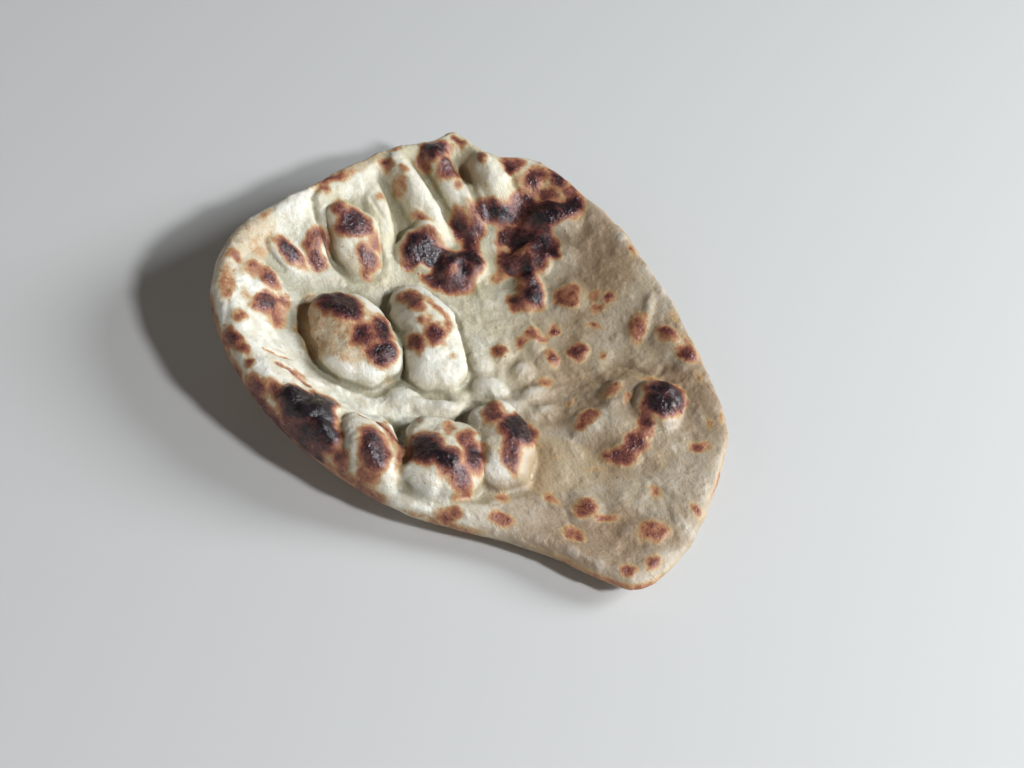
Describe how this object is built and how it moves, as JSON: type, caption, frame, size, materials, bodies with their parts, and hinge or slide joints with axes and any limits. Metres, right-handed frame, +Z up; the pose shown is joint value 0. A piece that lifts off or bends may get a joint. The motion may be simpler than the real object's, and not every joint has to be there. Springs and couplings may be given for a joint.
{
  "type": "naan bread",
  "caption": "Leaf-shaped flatbread with a curled, puffed rim, raised blisters and toasted spots on top, and a flat belly to rest on.",
  "frame": {"origin": "on the plane the bread rests on, below the middle of its bounding box", "axes": "+X from the wide end to the narrow tip, +Y towards the long smooth edge, +Z up, out of the blistered top"},
  "size_m": [0.2244, 0.1804, 0.0328],
  "materials": {
    "naan_crust": "baked dough: cream skin with a faint oily shine, orange-brown toasted halos and glossy near-black charred spots on the blisters"
  },
  "bodies": {
    "root": {"naan_bread": "naan_crust"}
  },
  "joints": []
}
